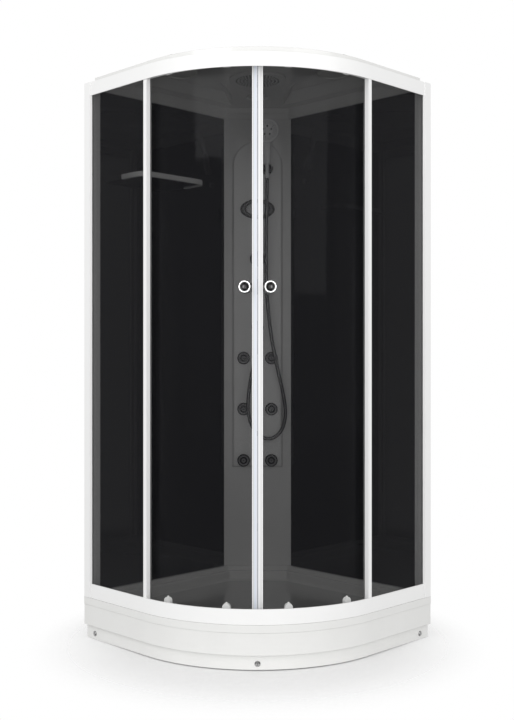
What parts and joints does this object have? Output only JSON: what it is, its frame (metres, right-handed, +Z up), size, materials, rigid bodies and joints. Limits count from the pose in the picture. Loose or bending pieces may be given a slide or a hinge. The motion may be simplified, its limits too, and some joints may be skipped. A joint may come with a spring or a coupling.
{
  "type": "steam shower cabin",
  "caption": "Quadrant shower cabin: low tray, white frame, curved sliding glass doors, black back walls, white corner column with jets, valves and a hand shower on a hose, and a moulded roof.",
  "frame": {"origin": "on the floor under the centre of the square plan", "axes": "+Z up; the two room walls lie along -X and +Y, and the round front with the doors faces (+X, -Y)"},
  "size_m": [0.9, 0.9, 2.096],
  "materials": {
    "acrylic": "polished",
    "frame": "gloss powder coat",
    "tinted_glass": "clear grey tint",
    "black_glass": "glossy opaque back",
    "seal": "clear flexible strip",
    "chrome": "polished",
    "steel": "galvanised",
    "brass": "as cast",
    "white_plastic": "satin",
    "black_plastic": "satin",
    "grey_plastic": "satin",
    "lamp": "opal"
  },
  "bodies": {
    "cabin": {"shower_tray": "acrylic", "tray_apron": "acrylic", "apron_screws": "chrome", "tray_frame": "steel", "levelling_feet": "steel", "drain_trap": "grey_plastic", "bottom_rail": "frame", "top_rail": "frame", "left_post": "frame", "right_post": "frame", "left_stile": "frame", "right_stile": "frame", "left_fixed_glass": "tinted_glass", "right_fixed_glass": "tinted_glass", "left_wall_panel": "black_glass", "right_wall_panel": "black_glass", "corner_column": "acrylic", "roof": "acrylic", "rain_head": "chrome", "ceiling_lamps": "lamp", "fan_housing": "white_plastic", "water_manifold": "brass", "column_trim": "chrome", "shower_hose": "chrome", "jet_rings": "chrome", "control_panel": "black_plastic", "panel_bezel": "chrome", "shelf_glass": "black_glass", "shelf_rim": "white_plastic", "steam_generator": "steel"},
    "left_door": {"left_door_glass": "tinted_glass", "left_door_seals": "seal", "left_door_knob": "chrome", "left_door_brackets": "white_plastic"},
    "left_outer_wheel": {"left_outer_wheel": "white_plastic"},
    "left_outer_release": {"left_outer_release_button": "white_plastic"},
    "left_inner_wheel": {"left_inner_wheel": "white_plastic"},
    "left_inner_release": {"left_inner_release_button": "white_plastic"},
    "right_door": {"right_door_glass": "tinted_glass", "right_door_seals": "seal", "right_door_knob": "chrome", "right_door_brackets": "white_plastic"},
    "right_outer_wheel": {"right_outer_wheel": "white_plastic"},
    "right_outer_release": {"right_outer_release_button": "white_plastic"},
    "right_inner_wheel": {"right_inner_wheel": "white_plastic"},
    "right_inner_release": {"right_inner_release_button": "white_plastic"},
    "drain_cover": {"drain_cover": "chrome"},
    "fan_rotor": {"fan_rotor": "black_plastic"},
    "mixer_knob": {"mixer_knob": "chrome"},
    "diverter_knob": {"diverter_knob": "chrome"},
    "handset_holder": {"handset_holder": "chrome"},
    "hand_shower": {"hand_shower": "white_plastic"},
    "light_button": {"light_button": "chrome"},
    "steam_button": {"steam_button": "chrome"},
    "jet_nozzle_1": {"jet_nozzle_1": "chrome"},
    "jet_nozzle_2": {"jet_nozzle_2": "chrome"},
    "jet_nozzle_3": {"jet_nozzle_3": "chrome"},
    "jet_nozzle_4": {"jet_nozzle_4": "chrome"},
    "jet_nozzle_5": {"jet_nozzle_5": "chrome"},
    "jet_nozzle_6": {"jet_nozzle_6": "chrome"}
  },
  "joints": [
    {"name": "left_door_slide", "type": "hinge", "parent": "cabin", "child": "left_door", "pos_m": [-0.1, 0.1, 1.1], "axis": [0, 0, -1], "range_deg": [0, 27]},
    {"name": "left_outer_wheel_roll", "type": "hinge", "parent": "left_door", "child": "left_outer_wheel", "pos_m": [-0.0241, -0.40786, 2.0103], "axis": [0.1478, -0.989, 0], "range_deg": [-10, 1320]},
    {"name": "left_outer_release_press", "type": "slide", "parent": "left_door", "child": "left_outer_release", "axis": [0, 0, -1], "range_m": [0, 0.003], "stiffness_N_per_m": 600},
    {"name": "left_inner_wheel_roll", "type": "hinge", "parent": "left_door", "child": "left_inner_wheel", "pos_m": [0.18267, -0.32869, 2.0103], "axis": [0.5505, -0.8348, 0], "range_deg": [-10, 1320]},
    {"name": "left_inner_release_press", "type": "slide", "parent": "left_door", "child": "left_inner_release", "axis": [0, 0, -1], "range_m": [0, 0.003], "stiffness_N_per_m": 600},
    {"name": "right_door_slide", "type": "hinge", "parent": "cabin", "child": "right_door", "pos_m": [-0.1, 0.1, 1.1], "axis": [0, 0, 1], "range_deg": [0, 27]},
    {"name": "right_outer_wheel_roll", "type": "hinge", "parent": "right_door", "child": "right_outer_wheel", "pos_m": [0.40786, 0.0241, 2.0103], "axis": [-0.989, 0.1478, 0], "range_deg": [-10, 1320]},
    {"name": "right_outer_release_press", "type": "slide", "parent": "right_door", "child": "right_outer_release", "axis": [0, 0, -1], "range_m": [0, 0.003], "stiffness_N_per_m": 600},
    {"name": "right_inner_wheel_roll", "type": "hinge", "parent": "right_door", "child": "right_inner_wheel", "pos_m": [0.32869, -0.18267, 2.0103], "axis": [-0.8348, 0.5505, 0], "range_deg": [-10, 1320]},
    {"name": "right_inner_release_press", "type": "slide", "parent": "right_door", "child": "right_inner_release", "axis": [0, 0, -1], "range_m": [0, 0.003], "stiffness_N_per_m": 600},
    {"name": "drain_cover_lift", "type": "slide", "parent": "cabin", "child": "drain_cover", "axis": [0, 0, 1], "range_m": [0, 0.03]},
    {"name": "fan_spin", "type": "hinge", "parent": "cabin", "child": "fan_rotor", "pos_m": [-0.19544, 0.19544, 2.07], "axis": [0, 0, 1], "continuous": true},
    {"name": "mixer_turn", "type": "hinge", "parent": "cabin", "child": "mixer_knob", "pos_m": [-0.30504, 0.30504, 1.321], "axis": [0.7071, -0.7071, 0], "range_deg": [-45, 45]},
    {"name": "diverter_turn", "type": "hinge", "parent": "cabin", "child": "diverter_knob", "pos_m": [-0.30504, 0.30504, 1.436], "axis": [0.7071, -0.7071, 0], "range_deg": [-90, 90]},
    {"name": "holder_tilt", "type": "hinge", "parent": "cabin", "child": "handset_holder", "pos_m": [-0.25484, 0.30999, 1.799], "axis": [0.7071, 0.7071, 0], "range_deg": [-12, 25]},
    {"name": "hand_shower_lift", "type": "slide", "parent": "handset_holder", "child": "hand_shower", "axis": [0.1591, -0.1591, 0.9744], "range_m": [0, 0.045]},
    {"name": "jet_1_swivel", "type": "hinge", "parent": "cabin", "child": "jet_nozzle_1", "pos_m": [-0.36069, 0.28008, 1.0285], "axis": [0.7071, 0.7071, 0], "range_deg": [-15, 15]},
    {"name": "jet_2_swivel", "type": "hinge", "parent": "cabin", "child": "jet_nozzle_2", "pos_m": [-0.28008, 0.36069, 1.0285], "axis": [0.7071, 0.7071, 0], "range_deg": [-15, 15]},
    {"name": "jet_3_swivel", "type": "hinge", "parent": "cabin", "child": "jet_nozzle_3", "pos_m": [-0.36069, 0.28008, 0.8185], "axis": [0.7071, 0.7071, 0], "range_deg": [-15, 15]},
    {"name": "jet_4_swivel", "type": "hinge", "parent": "cabin", "child": "jet_nozzle_4", "pos_m": [-0.28008, 0.36069, 0.8185], "axis": [0.7071, 0.7071, 0], "range_deg": [-15, 15]},
    {"name": "jet_5_swivel", "type": "hinge", "parent": "cabin", "child": "jet_nozzle_5", "pos_m": [-0.36069, 0.28008, 0.6075], "axis": [0.7071, 0.7071, 0], "range_deg": [-15, 15]},
    {"name": "jet_6_swivel", "type": "hinge", "parent": "cabin", "child": "jet_nozzle_6", "pos_m": [-0.28008, 0.36069, 0.6075], "axis": [0.7071, 0.7071, 0], "range_deg": [-15, 15]},
    {"name": "light_button_press", "type": "slide", "parent": "cabin", "child": "light_button", "axis": [-0.7071, 0.7071, 0], "range_m": [0, 0.0008], "stiffness_N_per_m": 400},
    {"name": "steam_button_press", "type": "slide", "parent": "cabin", "child": "steam_button", "axis": [-0.7071, 0.7071, 0], "range_m": [0, 0.0008], "stiffness_N_per_m": 400}
  ],
  "couplings": [
    {"joint": "left_outer_wheel_roll", "follows": "left_door_slide", "ratio": 46.682},
    {"joint": "left_inner_wheel_roll", "follows": "left_door_slide", "ratio": 46.682},
    {"joint": "right_outer_wheel_roll", "follows": "right_door_slide", "ratio": 46.682},
    {"joint": "right_inner_wheel_roll", "follows": "right_door_slide", "ratio": 46.682}
  ]
}
